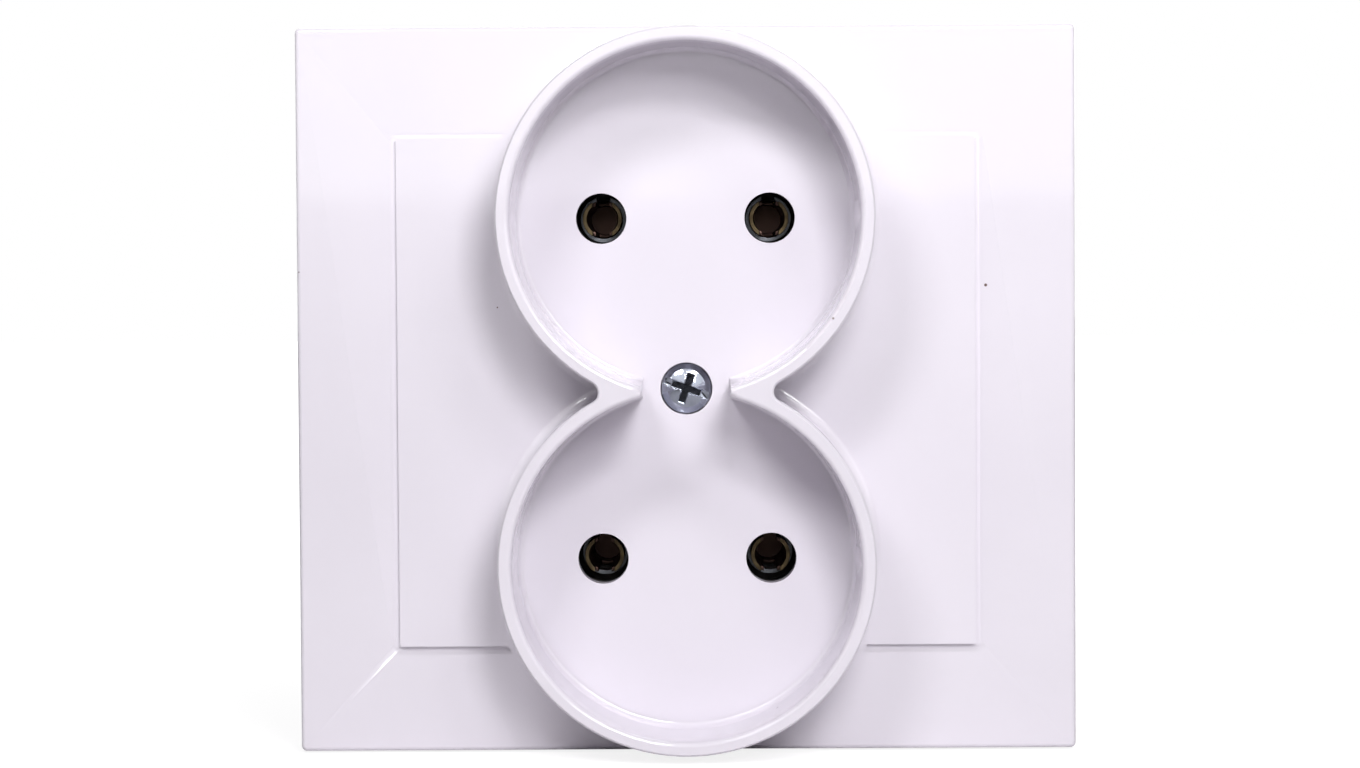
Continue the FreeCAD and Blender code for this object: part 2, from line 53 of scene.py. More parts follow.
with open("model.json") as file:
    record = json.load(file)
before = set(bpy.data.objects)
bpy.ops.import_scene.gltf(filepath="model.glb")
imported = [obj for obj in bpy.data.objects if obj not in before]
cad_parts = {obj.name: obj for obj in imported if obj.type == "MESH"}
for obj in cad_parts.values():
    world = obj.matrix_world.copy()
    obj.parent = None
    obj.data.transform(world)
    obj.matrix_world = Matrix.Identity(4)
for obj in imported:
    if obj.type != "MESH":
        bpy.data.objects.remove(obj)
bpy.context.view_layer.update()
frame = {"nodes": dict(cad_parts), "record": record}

MM = 0.001
PHOTO_W = 1360
SENSOR_W = 36.0

# Points closer than this are joined
WELD = 1e-6

# Turn between two faces: below the first their edge is taken out, above the second it is
# rounded, and above the third it is shaded as sharp
FLAT_WITHIN = math.radians(0.05)
ROUND_ABOVE = math.radians(35)
SHARP_ABOVE = math.radians(40)

# How far from an edge handling has rubbed the metals
RUBBED = 0.12 * MM

# sRGB colours that have no setting
SPECK_COLOUR = "6E5A58"
SPRING_COLOUR = "8A8D93"
FLOOR_COLOUR = "EAE8EA"
DARK_CARD_COLOUR = "3C3A40"

# Blender's own layer for face strength, and its value for a strong face
FACE_STRENGTH = "__mod_weightednormals_faceweight"
STRONG = 16384

# Faces of the cover larger than this rule the shading at their corners
FLAT_AREA = 20 * MM * MM

# Collars of the cover: the radii between which their round faces lie
COLLAR_INNER = 14 * MM
COLLAR_OUTER = 26 * MM

# Corners on a ring: how closely their places agree, how far their normals may lean out of the
# plane through the axis, the step in slope that parts two bands, and the number of corners that
# a band must exceed to be evened
RING_PLACE = 0.005 * MM
RING_LEAN = 0.07
RING_BREAK = math.radians(12)
RING_LEAST = 12

# Locating collars round the contacts: where they start along Y, their radii and their length
LOCATOR_Y = 10.5 * MM
LOCATOR_INNER = 2.25 * MM
LOCATOR_OUTER = 4.3 * MM
LOCATOR_LENGTH = 1.0 * MM

SIDES = ("left", "right")
LEVELS = ("upper", "lower")
CONTACTS = [f"contact_{level}_{side}" for level in LEVELS for side in SIDES]
SPRINGS = [f"contact_spring_{level}_{side}" for level in LEVELS for side in SIDES]

# CAD screws in mm: the axes (x, z), the y of the seat under the head, the way that the shank
# points along Y, its length and its radius
SCREWS = {
    "cover_screw": ([(0, 0)], -5.4, 1, 9.5, 1.5),
    "strap_screws": ([(x, z) for x in (-21.8, 21.8) for z in (-12.5, 12.5)], -1.2, 1, 9.2, 1.25),
    "claw_screw_left": ([(-24.2, 0)], -1.2, 1, 15.2, 1.5),
    "claw_screw_right": ([(24.2, 0)], -1.2, 1, 15.2, 1.5),
    "terminal_screw_left": ([(-9.5, 0)], 15.5, -1, 7.0, 1.45),
    "terminal_screw_right": ([(9.5, 0)], 15.5, -1, 7.0, 1.45),
}

# Middle of the upper right pin hole, as (x, z)
PIN_HOLE = (9.5 * MM, 19.225 * MM)

# Where the camera looks, in the middle of the recess floors
CAMERA_TARGET = (-0.72 * MM, -7.5 * MM, 0.51 * MM)

# Lamps that stand upright: the middle and the size of each in metres, and the way that it faces
# along Y
LAMPS = {
    "key": ((0.065, -0.27, 0.18), (0.09, 0.06), 1),
    "left": ((-0.135, -0.27, 0.255), (0.13, 0.09), 1),
    "front": ((0.105, -0.42, 0.16), (0.15, 0.08), 1),
    "high": ((0.29, -0.42, 0.465), (0.22, 0.17), 1),
    "back": ((0.1, 0.45, 0.2), (0.5, 0.4), -1),
}

# Dark specks in the white moulding: the middle of each, and its radius
SPECKS = (
    ((33.7 * MM, -9.0 * MM, 11.5 * MM), 0.2 * MM),
    ((-43.5 * MM, -8.9 * MM, 13.4 * MM), 0.1 * MM),
    ((-21.2 * MM, -9.0 * MM, 9.3 * MM), 0.1 * MM),
    ((16.2 * MM, -19.3 * MM, 8.0 * MM), 0.24 * MM),
    ((9.95 * MM, -13.0 * MM, -35.5 * MM), 0.14 * MM),
)


def linear(code):
    """Linear colour of an sRGB hex code such as ECE4EE."""
    parts = [int(code[i:i + 2], 16) / 255 for i in (0, 2, 4)]
    return tuple(c / 12.92 if c <= 0.04045 else ((c + 0.055) / 1.055) ** 2.4 for c in parts)


class CoverLook(PropertyGroup):
    """Finish of the white cover moulding."""

    colour: FloatVectorProperty(
        name="Plastic colour", description="Colour of the moulded plastic",
        subtype="COLOR", size=3, min=0, max=1, default=linear("DCD7E0"),
    )
    roughness: FloatProperty(
        name="Roughness", description="Roughness of the polished face", subtype="FACTOR",
        min=0, max=1, default=0.06,
    )
    ripple: FloatProperty(
        name="Ripple", description="Distance between the faint ripples that moulding leaves",
        subtype="DISTANCE", unit="LENGTH", min=0.0005, max=0.02, default=4 * MM,
    )


class MetalLook(PropertyGroup):
    """Finish of the screws, sheet metal and brass."""

    zinc: FloatVectorProperty(
        name="Zinc colour", description="Colour of bright zinc plating",
        subtype="COLOR", size=3, min=0, max=1, default=linear("B4B8C2"),
    )
    # Painted reflection: the cover screw's zinc is made darker than the other zinc, so that its
    # dome shows the white floor less brightly
    cover_screw: FloatVectorProperty(
        name="Cover screw colour",
        description="Colour of the darker bright zinc on the cover screw",
        subtype="COLOR", size=3, min=0, max=1, default=linear("A9AEBB"),
    )
    brass: FloatVectorProperty(
        name="Brass colour", description="Colour of bare brass",
        subtype="COLOR", size=3, min=0, max=1, default=linear("D2AC63"),
    )
    # Painted shade: the contact brass is darkened both by dust and by painted shade at the pin hole
    # mouths
    dust_and_shade_brass: FloatVectorProperty(
        name="Dusty brass colour", description="Colour of the mouths of the contacts",
        subtype="COLOR", size=3, min=0, max=1, default=linear("62553F"),
    )
    # Painted shade: the dark colour inside the contacts stands for oxide and for the shade deep in
    # the tubes
    tarnish_and_shade: FloatVectorProperty(
        name="Tarnish colour", description="Colour of the oxide inside the contacts",
        subtype="COLOR", size=3, min=0, max=1, default=linear("4A3A34"),
    )
    pitch: FloatProperty(
        name="Thread pitch", description="Distance between two turns of the screw threads",
        subtype="DISTANCE", unit="LENGTH", min=0.0003, max=0.001, default=0.5 * MM,
    )
    turn_steps: IntProperty(
        name="Steps in a turn", description="Straight steps in one turn of a thread",
        min=8, max=48, default=20,
    )
    edge: FloatProperty(
        name="Edge radius", description="Rounding of punched and turned edges",
        subtype="DISTANCE", unit="LENGTH", min=0.00001, max=0.0003, default=0.06 * MM,
    )


class BaseLook(PropertyGroup):
    """Finish of the insulating mouldings."""

    colour: FloatVectorProperty(
        name="Phenolic colour", description="Colour of the dark insulating moulding",
        subtype="COLOR", size=3, min=0, max=1, default=linear("362C2B"),
    )
    edge: FloatProperty(
        name="Edge radius", description="Rounding of the moulded edges",
        subtype="DISTANCE", unit="LENGTH", min=0.00002, max=0.0005, default=0.12 * MM,
    )


class StageLook(PropertyGroup):
    """Camera and lights."""

    azimuth: FloatProperty(
        name="Azimuth", description="Camera's turn to the right of straight ahead",
        subtype="ANGLE", unit="ROTATION", default=math.radians(0.4),
    )
    elevation: FloatProperty(
        name="Elevation", description="Camera's height above straight ahead",
        subtype="ANGLE", unit="ROTATION", default=math.radians(2.1),
    )
    roll: FloatProperty(
        name="Roll", description="Camera's turn about its line of sight",
        subtype="ANGLE", unit="ROTATION", default=math.radians(-0.35),
    )
    distance: FloatProperty(
        name="Distance", description="From the camera to the point that it looks at",
        subtype="DISTANCE", unit="LENGTH", default=0.38,
    )
    focal_px: FloatProperty(
        name="Focal length", description="Focal length in pixels of the picture", default=3363,
    )
    key: FloatProperty(
        name="Key", description="Power of the small lamp above the object",
        unit="POWER", min=0, default=0.557,
    )
    left: FloatProperty(
        name="Left", description="Power of the lamp above to the left",
        unit="POWER", min=0, default=0.823,
    )
    front: FloatProperty(
        name="Front", description="Power of the lamp above the camera",
        unit="POWER", min=0, default=0.593,
    )
    high: FloatProperty(
        name="High", description="Power of the lamp high up to the right",
        unit="POWER", min=0, default=1.381,
    )
    back: FloatProperty(
        name="Back", description="Power of the lamp behind the object",
        unit="POWER", min=0, default=1.6,
    )
    card: FloatProperty(
        name="Bright card", description="Brightness of the card that the glossy front reflects",
        min=0, default=1.6,
    )


def add_node(tree, kind, settings=None, links=None):
    """Add a shader node, set its properties and inputs, and link inputs to other outputs."""
    node = tree.nodes.new("ShaderNode" + kind)
    for name, value in (settings or {}).items():
        if isinstance(name, str) and name in node.bl_rna.properties:
            setattr(node, name, value)
        else:
            node.inputs[name].default_value = value
    for name, output in (links or {}).items():
        tree.links.new(output, node.inputs[name])
    return node


def new_material(name, settings):
    """A material with one Principled shader. Returns (material, its tree, the shader)."""
    material = bpy.data.materials.new(name)
    material.use_nodes = True
    shader = material.node_tree.nodes["Principled BSDF"]
    for key, value in settings.items():
        shader.inputs[key].default_value = value
    return material, material.node_tree, shader


def tone(tree, shader, coords, dark, light, size, detail=2.0):
    """Base colour that drifts between two tones over patches of a real size."""
    noise = add_node(tree, "TexNoise", {"Scale": 1 / size, "Detail": detail}, {"Vector": coords})
    ramp = add_node(tree, "ValToRGB", links={"Fac": noise.outputs["Fac"]})
    ramp.color_ramp.elements[0].position = 0.3
    ramp.color_ramp.elements[0].color = (*dark, 1)
    ramp.color_ramp.elements[1].position = 0.7
    ramp.color_ramp.elements[1].color = (*light, 1)
    tree.links.new(ramp.outputs["Color"], shader.inputs["Base Color"])
    return ramp


def grain(tree, shader, coords, low, high, size, bump, depth, detail=3.0):
    """Roughness between low and high, and bumps of a real depth, from one noise."""
    noise = add_node(tree, "TexNoise", {"Scale": 1 / size, "Detail": detail}, {"Vector": coords})
    spread = {"From Min": 0.3, "From Max": 0.7, "To Min": low, "To Max": high}
    rough = add_node(tree, "MapRange", spread, {"Value": noise.outputs["Fac"]})
    tree.links.new(rough.outputs["Result"], shader.inputs["Roughness"])
    relief = add_node(tree, "Bump", {"Strength": bump, "Distance": depth},
                      {"Height": noise.outputs["Fac"]})
    tree.links.new(relief.outputs["Normal"], shader.inputs["Normal"])
    return relief


def shaded(share, colour):
    """The same colour, darker by a share."""
    return tuple(c * share for c in colour)


def worn_edges(tree, shader, radius, share):
    """Lighten the base colour by a share along edges, where handling has rubbed them.

    Returns the output that gives the normal of the rounded edges.
    """
    round_normal = add_node(tree, "Bevel", {"Radius": radius, "samples": 4}).outputs["Normal"]
    flat_normal = add_node(tree, "NewGeometry").outputs["Normal"]
    turn = add_node(tree, "VectorMath", {"operation": "DOT_PRODUCT"},
                    {0: round_normal, 1: flat_normal})
    fade = {"From Min": 0.98, "From Max": 0.8, "To Min": 0.0, "To Max": share}
    edge = add_node(tree, "MapRange", fade, {"Value": turn.outputs["Value"]})
    under = shader.inputs["Base Color"].links[0].from_socket
    worn = add_node(tree, "MixRGB", {"blend_type": "ADD", "Color2": (1, 1, 1, 1)},
                    {"Fac": edge.outputs["Result"], "Color1": under})
    tree.links.new(worn.outputs["Color"], shader.inputs["Base Color"])
    return round_normal


def white_plastic(look):
    """Urea moulding: hard gloss, faint ripple, dark specks and scuffed pin holes."""
    material, tree, shader = new_material("urea_moulded_gloss_white", {"IOR": 1.54})
    coords = add_node(tree, "TexCoord").outputs["Object"]
    ramp = tone(tree, shader, coords, shaded(0.97, look.colour), tuple(look.colour), 25 * MM)
    low, high = look.roughness * 0.9, look.roughness * 1.15
    grain(tree, shader, coords, low, high, look.ripple, bump=0.03, depth=0.02 * MM, detail=0.0)
    colour = ramp.outputs["Color"]
    for place, radius in SPECKS:
        gap = add_node(tree, "VectorMath", {"operation": "DISTANCE", 1: place}, {0: coords})
        fade = {"From Min": radius * 0.7, "From Max": radius, "To Min": 1.0, "To Max": 0.0}
        mark = add_node(tree, "MapRange", fade, {"Value": gap.outputs["Value"]})
        mixed = add_node(tree, "MixRGB", {"Color2": (*linear(SPECK_COLOUR), 1)},
                         {"Fac": mark.outputs["Result"], "Color1": colour})
        colour = mixed.outputs["Color"]
    tree.links.new(colour, shader.inputs["Base Color"])
    scuffed_pin_holes(tree, shader, coords, look.roughness)
    return material


def scuffed_pin_holes(tree, shader, coords, polish):
    """Roughen the plastic in fine streaks round the pin holes, where plugs have missed them."""
    folded = add_node(tree, "VectorMath", {"operation": "ABSOLUTE"}, {0: coords})
    flat = add_node(tree, "VectorMath", {"operation": "MULTIPLY", 1: (1, 0, 1)},
                    {0: folded.outputs["Vector"]})
    hole = (PIN_HOLE[0], 0, PIN_HOLE[1])
    gap = add_node(tree, "VectorMath", {"operation": "DISTANCE", 1: hole},
                   {0: flat.outputs["Vector"]})
    fade = {"From Min": 3 * MM, "From Max": 6 * MM, "To Min": 1.0, "To Max": 0.0}
    near = add_node(tree, "MapRange", fade, {"Value": gap.outputs["Value"]})
    streak = add_node(tree, "VectorMath", {"operation": "MULTIPLY", 1: (1, 1, 0.15)}, {0: coords})
    noise = add_node(tree, "TexNoise", {"Scale": 1 / (0.15 * MM), "Detail": 2.0},
                     {"Vector": streak.outputs["Vector"]})
    crests = {"From Min": 0.6, "From Max": 0.7, "To Min": 0.0, "To Max": 0.14}
    fine = add_node(tree, "MapRange", crests, {"Value": noise.outputs["Fac"]})
    scuff = add_node(tree, "Math", {"operation": "MULTIPLY"},
                     {0: near.outputs["Result"], 1: fine.outputs["Result"]})
    plain = shader.inputs["Roughness"].links[0].from_socket
    rough = add_node(tree, "Math", {"operation": "ADD"}, {0: plain, 1: scuff.outputs["Value"]})
    tree.links.new(rough.outputs["Value"], shader.inputs["Roughness"])


def zinc_plate(name, colour, size, low, high, bump=0.15):
    """Bright zinc on steel: bluish, with soft blotches, fine grain and rubbed edges."""
    material, tree, shader = new_material(name, {"Metallic": 1.0})
    coords = add_node(tree, "TexCoord").outputs["Object"]
    tone(tree, shader, coords, shaded(0.72, colour), tuple(colour), 1.4 * MM)
    grain(tree, shader, coords, low, high, size, bump, 0.01 * MM)
    worn_edges(tree, shader, RUBBED, 0.12)
    return material


def brass_sheet(look):
    """Rolled and pressed brass, a little tarnished, with rubbed edges."""
    material, tree, shader = new_material("brass_rolled", {"Metallic": 1.0})
    coords = add_node(tree, "TexCoord").outputs["Object"]
    tone(tree, shader, coords, shaded(0.6, look.brass), tuple(look.brass), 2.5 * MM, 4.0)
    grain(tree, shader, coords, 0.24, 0.42, 0.25 * MM, 0.12, 0.01 * MM)
    worn_edges(tree, shader, RUBBED, 0.1)
    return material


def contact_brass(look):
    """Pressed brass, dull with dust and painted shade, and darker deeper inside with oxide and
    painted shade.
    """
    material, tree, shader = new_material("brass_pressed_tarnished", {"Metallic": 1.0})
    coords = add_node(tree, "TexCoord").outputs["Object"]
    # Painted shade and dust: the contact's whole tone is this darkened brass
    dust_and_shade = look.dust_and_shade_brass
    ramp = tone(tree, shader, coords, shaded(0.4, dust_and_shade), tuple(dust_and_shade), 0.9 * MM, 4.0)
    grain(tree, shader, coords, 0.3, 0.45, 0.25 * MM, 0.12, 0.01 * MM)
    # Painted shade: past the flared mouth, from about y = -2.2 mm to 12.8 mm, the colour turns to
    # the dark tarnish colour, for oxide and for the shade deep in the tube
    depth = add_node(tree, "SeparateXYZ", links={"Vector": coords}).outputs["Y"]
    oxide_and_shade = add_node(tree, "MapRange", {"From Min": -2.9 * MM, "From Max": -2.2 * MM},
                     {"Value": depth})
    back = add_node(tree, "MapRange", {"From Min": 13.2 * MM, "From Max": 12.8 * MM},
                    {"Value": depth})
    inside = add_node(tree, "Math", {"operation": "MULTIPLY"},
                      {0: oxide_and_shade.outputs["Result"], 1: back.outputs["Result"]})
    mixed = add_node(tree, "MixRGB", {"Color2": (*look.tarnish_and_shade, 1)},
                     {"Fac": inside.outputs["Value"], "Color1": ramp.outputs["Color"]})
    tree.links.new(mixed.outputs["Color"], shader.inputs["Base Color"])
    return material


def phenolic(look):
    """Brown-black phenolic moulding: satin, slightly mottled by its wood-flour filler."""
    material, tree, shader = new_material("phenolic_moulded", {"IOR": 1.6})
    coords = add_node(tree, "TexCoord").outputs["Object"]
    tone(tree, shader, coords, shaded(0.6, look.colour), tuple(look.colour), 1.2 * MM, 5.0)
    relief = grain(tree, shader, coords, 0.34, 0.5, 0.4 * MM, 0.12, 0.01 * MM)
    tree.links.new(worn_edges(tree, shader, look.edge, 0.03), relief.inputs["Normal"])
    return material


def welded(node):
    """A bmesh of a CAD node with its loose triangles joined and its flat faces whole."""
    bm = bmesh.new()
    bm.from_mesh(frame["nodes"][node].data)
    bmesh.ops.remove_doubles(bm, verts=bm.verts, dist=WELD)
    bmesh.ops.dissolve_limit(bm, angle_limit=FLAT_WITHIN, verts=bm.verts, edges=bm.edges)
    return bm


def soften(bm, radius):
    """Round the sharp edges."""
    closed = [e for e in bm.edges if len(e.link_faces) == 2]
    edges = [e for e in closed if e.calc_face_angle() > ROUND_ABOVE]
    bmesh.ops.bevel(
        bm, geom=edges, offset=radius, offset_type="OFFSET", affect="EDGES", segments=2,
        profile=0.5, material=-1, clamp_overlap=False, miter_outer="ARC",
    )


def finish_piece(bm, name, material, body, nodes, flat=0.0):
    """Turn a bmesh into a smooth-shaded piece that rides on a body and stands for CAD nodes.

    With flat, faces of a larger area rule the shading at their corners, and round ones share it.
    """
    mesh = bpy.data.meshes.new(name)
    strength = bm.faces.layers.int.new(FACE_STRENGTH)
    for face in bm.faces:
        face.smooth = True
        face[strength] = STRONG if flat and face.calc_area() > flat else 0
    bm.to_mesh(mesh)
    bm.free()
    mesh.materials.append(material)
    mesh.set_sharp_from_angle(angle=SHARP_ABOVE)
    piece = bpy.data.objects.new(name, mesh)
    bpy.context.scene.collection.objects.link(piece)
    even = piece.modifiers.new("Even shading", "WEIGHTED_NORMAL")
    even.keep_sharp = True
    if flat:
        even.mode = "CORNER_ANGLE"
        even.use_face_influence = True
    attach(piece, body)
    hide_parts(*nodes)
    return piece


def even_rings(piece, centres, least, most):
    """Give the corners on each ring about an axis along Y one slope, so that highlights are even.

    Elsewhere the shading stays as the piece's modifiers leave it, and these are then removed.
    """
    mesh = piece.data
    shaded_mesh = piece.evaluated_get(bpy.context.evaluated_depsgraph_get()).data
    normals = [corner.vector.copy() for corner in shaded_mesh.corner_normals]
    rings = {}
    for loop, normal in zip(mesh.loops, normals):
        point = mesh.vertices[loop.vertex_index].co
        for centre in centres:
            out = Vector((point.x - centre.x, 0, point.z - centre.z))
            reach = out.length
            out.normalize()
            if least < reach < most and abs(normal.x * out.z - normal.z * out.x) < RING_LEAN:
                key = (centre.z, round(reach / RING_PLACE), round(point.y / RING_PLACE))
                slope = math.atan2(normal.y, normal.dot(out))
                rings.setdefault(key, []).append((slope, loop.index, out))
    for ring in rings.values():
        ring.sort(key=lambda corner: corner[0])
        first = 0
        for last in range(1, len(ring) + 1):
            if last == len(ring) or ring[last][0] - ring[last - 1][0] > RING_BREAK:
                band = ring[first:last]
                first = last
                if len(band) > RING_LEAST:
                    slope = sum(corner[0] for corner in band) / len(band)
                    for _, index, out in band:
                        normals[index] = out * math.cos(slope) + Vector((0, math.sin(slope), 0))
    piece.modifiers.clear()
    mesh.normals_split_custom_set(normals)


def body_of(node):
    """Name of the body that holds a CAD node."""
    for body, members in frame["record"]["behaviour"]["bodies"].items():
        if node in members:
            return body
    raise RuntimeError("no body holds " + node)


def dress(node, material, edge=0.0, extra=(), flat=0.0):
    """A welded copy of a CAD node with its edges broken, joined by extra shapes, in its finish."""
    bm = welded(node)
    if edge:
        soften(bm, edge)
    for shape in extra:
        join(bm, shape)
    return finish_piece(bm, node + "_finish", material, body_of(node), [node], flat)


def join(bm, shape):
    """Move the faces of one bmesh into another."""
    mesh = bpy.data.meshes.new("shape")
    shape.to_mesh(mesh)
    shape.free()
    bm.from_mesh(mesh)
    bpy.data.meshes.remove(mesh)


def collar(place, inner, outer, length):
    """Flat ring round a line along Y, from place, as a bmesh of its own."""
    bm = bmesh.new()
    corners = ((inner, 0), (outer, 0), (outer, length), (inner, length))
    verts = [bm.verts.new(place + Vector((r, y, 0))) for r, y in corners]
    edges = [bm.edges.new((verts[i - 1], verts[i])) for i in range(4)]
    bmesh.ops.spin(bm, geom=verts + edges, cent=place, axis=(0, 1, 0), angle=2 * math.pi, steps=48)
    bmesh.ops.remove_doubles(bm, verts=bm.verts, dist=WELD)
    bmesh.ops.recalc_face_normals(bm, faces=bm.faces)
    return bm


def thread_rod(place, way, length, crest, pitch, steps):
    """Closed right-hand threaded rod along Y from place, as a bmesh of its own."""
    root = crest - 0.6 * pitch
    # Radius and share of the pitch at the corners of one turn: root, two of the crest, root, root
    profile = [(root, 0), (crest, 0.3125), (crest, 0.4375), (root, 0.75), (root, 1)]
    bm = bmesh.new()
    places = [place + Vector((r, way * pitch * (share - 1), 0)) for r, share in profile]
    verts = [bm.verts.new(p) for p in places]
    edges = [bm.edges.new(pair) for pair in zip(verts, verts[1:])]
    turns = math.ceil(length / pitch) + 2
    axis = Vector((0, way, 0))
    bmesh.ops.spin(bm, geom=verts + edges, cent=place, axis=axis, dvec=axis * pitch / steps,
                   angle=2 * math.pi * turns, steps=steps * turns)
    bmesh.ops.remove_doubles(bm, verts=bm.verts, dist=WELD)
    tip = place + axis * length
    for end, normal in ((place, -axis), (tip, axis)):
        geom = bm.verts[:] + bm.edges[:] + bm.faces[:]
        bmesh.ops.bisect_plane(bm, geom=geom, plane_co=end, plane_no=normal, clear_outer=True)
    bmesh.ops.holes_fill(bm, edges=[e for e in bm.edges if e.is_boundary], sides=0)
    taper = 0.8 * pitch
    for vert in bm.verts:
        beyond = taper - (tip - vert.co).dot(axis)
        across = Vector((vert.co.x - place.x, 0, vert.co.z - place.z))
        limit = crest - max(beyond, 0)
        if across.length > limit:
            vert.co -= across * (1 - limit / across.length)
    bmesh.ops.recalc_face_normals(bm, faces=bm.faces)
    return bm


def dress_screw(node, material, look):
    """A CAD screw's head with its edges broken, on a shank with a real thread."""
    axes, seat, way, length, radius = SCREWS[node]
    bm = welded(node)
    soften(bm, look.edge)
    below = Vector((0, (seat + 0.05 * way) * MM, 0))
    geom = bm.verts[:] + bm.edges[:] + bm.faces[:]
    bmesh.ops.bisect_plane(bm, geom=geom, plane_co=below, plane_no=(0, way, 0), clear_outer=True)
    bmesh.ops.holes_fill(bm, edges=[e for e in bm.edges if e.is_boundary], sides=0)
    for x, z in axes:
        place = Vector((x * MM, seat * MM, z * MM))
        join(bm, thread_rod(place, way, length * MM, radius * MM, look.pitch, look.turn_steps))
    return finish_piece(bm, node + "_finish", material, body_of(node), [node])


class SOCKET_OT_cover(Operator):
    """Dress the white cover moulding"""

    bl_idname = "socket.cover"
    bl_label = "Cover"

    def execute(self, context):
        look = context.scene.socket_cover
        centres = [Vector((0, 0, z * PIN_HOLE[1])) for z in (-1, 1)]
        piece = dress("cover", white_plastic(look), flat=FLAT_AREA)
        even_rings(piece, centres, COLLAR_INNER, COLLAR_OUTER)
        return {"FINISHED"}


class SOCKET_OT_screws(Operator):
    """Dress the cover screw and the screws behind the cover"""

    bl_idname = "socket.screws"
    bl_label = "Screws"

    def execute(self, context):
        look = context.scene.socket_metal
        plate = zinc_plate("steel_zinc_plated_screw", look.zinc, 0.2 * MM, 0.2, 0.34)
        # The cover screw's darker zinc is a painted darker reflection
        bright = zinc_plate("steel_bright_zinc_cover_screw", look.cover_screw, 0.6 * MM, 0.07, 0.16,
                            bump=0.05)
        for node in SCREWS:
            dress_screw(node, bright if node == "cover_screw" else plate, look)
        return {"FINISHED"}


class SOCKET_OT_contacts(Operator):
    """Dress the brass contacts, pole bars and bush, and the steel springs and clamps"""

    bl_idname = "socket.contacts"
    bl_label = "Contacts and terminals"

    def execute(self, context):
        look = context.scene.socket_metal
        brass = brass_sheet(look)
        # This brass carries painted shade: darkened at the mouths, and darker still inside
        worn = contact_brass(look)
        spring = zinc_plate("steel_spring_bright", linear(SPRING_COLOUR), 0.2 * MM, 0.25, 0.4)
        plate = zinc_plate("steel_zinc_plated_clamp", look.zinc, 0.2 * MM, 0.25, 0.4)
        for node in CONTACTS:
            dress(node, worn, look.edge)
        for node in [f"pole_bar_{side}" for side in SIDES] + ["cover_bush"]:
            dress(node, brass, look.edge)
        for node in SPRINGS:
            dress(node, spring, look.edge)
        for side in SIDES:
            dress("terminal_clamp_" + side, plate, look.edge)
        return {"FINISHED"}


class SOCKET_OT_mouldings(Operator):
    """Dress the insulating mouldings behind the cover"""

    bl_idname = "socket.mouldings"
    bl_label = "Insulating mouldings"

    def execute(self, context):
        look = context.scene.socket_base
        moulding = phenolic(look)
        centres = [
            Vector((x * PIN_HOLE[0], LOCATOR_Y, z * PIN_HOLE[1])) for x in (-1, 1) for z in (-1, 1)
        ]
        locators = [collar(c, LOCATOR_INNER, LOCATOR_OUTER, LOCATOR_LENGTH) for c in centres]
        dress("socket_base", moulding, extra=locators)
        dress("contact_cover", moulding)
        return {"FINISHED"}


class SOCKET_OT_strap(Operator):
    """Dress the mounting strap, the claws and their pins"""

    bl_idname = "socket.strap"
    bl_label = "Strap and claws"

    def execute(self, context):
        look = context.scene.socket_metal
        sheet = zinc_plate("steel_zinc_plated_sheet", look.zinc, 0.3 * MM, 0.26, 0.42)
        dark = zinc_plate("steel_zinc_plated_claw", shaded(0.8, look.zinc), 0.3 * MM, 0.3, 0.46)
        dress("mounting_strap", sheet, look.edge)
        for side in SIDES:
            dress("claw_" + side, dark, look.edge)
            dress("claw_pin_" + side, dark, look.edge)
        return {"FINISHED"}


def aim(obj, place, target, roll=0.0):
    """Put a lamp or camera at place, looking at target."""
    turn = (target - place).to_track_quat("-Z", "Y").to_matrix().to_4x4()
    obj.matrix_world = Matrix.Translation(place) @ turn @ Matrix.Rotation(roll, 4, "Z")


def area_lamp(name, place, size, way, power):
    """Upright rectangular lamp, facing one way along Y, that the camera doesn't see."""
    lamp = bpy.data.lights.new(name, "AREA")
    lamp.shape = "RECTANGLE"
    lamp.size, lamp.size_y = size
    lamp.energy = power
    obj = bpy.data.objects.new(name, lamp)
    bpy.context.scene.collection.objects.link(obj)
    place = Vector(place)
    aim(obj, place, place + Vector((0, way, 0)))
    obj.visible_camera = False


def flat_stage(name, corners, material):
    """One flat face of the stage."""
    bm = bmesh.new()
    bm.faces.new([bm.verts.new(c) for c in corners])
    mesh = bpy.data.meshes.new(name)
    bm.to_mesh(mesh)
    bm.free()
    mesh.materials.append(material)
    obj = bpy.data.objects.new(name, mesh)
    bpy.context.scene.collection.objects.link(obj)
    obj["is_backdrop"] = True
    return obj


def white_to_camera():
    """Pale matt floor that the camera sees nearly white, with the object's shadow left in it."""
    material = bpy.data.materials.new("floor_matt_white")
    material.use_nodes = True
    tree = material.node_tree
    tree.nodes.clear()
    paper = add_node(tree, "BsdfDiffuse", {"Color": (*linear(FLOOR_COLOUR), 1)})
    glow = add_node(tree, "Emission", {"Strength": 1.2})
    path = add_node(tree, "LightPath")
    coords = add_node(tree, "TexCoord").outputs["Object"]
    away = add_node(tree, "VectorMath", {"operation": "LENGTH"}, {0: coords})
    fade = {"From Min": 0.05, "From Max": 0.22, "To Min": 0.7, "To Max": 1.0}
    white = add_node(tree, "MapRange", fade, {"Value": away.outputs["Value"]})
    share = add_node(tree, "Math", {"operation": "MULTIPLY"},
                     {0: path.outputs["Is Camera Ray"], 1: white.outputs["Result"]})
    mixed = add_node(tree, "MixShader", links={"Fac": share.outputs["Value"]})
    tree.links.new(paper.outputs["BSDF"], mixed.inputs[1])
    tree.links.new(glow.outputs["Emission"], mixed.inputs[2])
    add_node(tree, "OutputMaterial", links={"Surface": mixed.outputs["Shader"]})
    return material


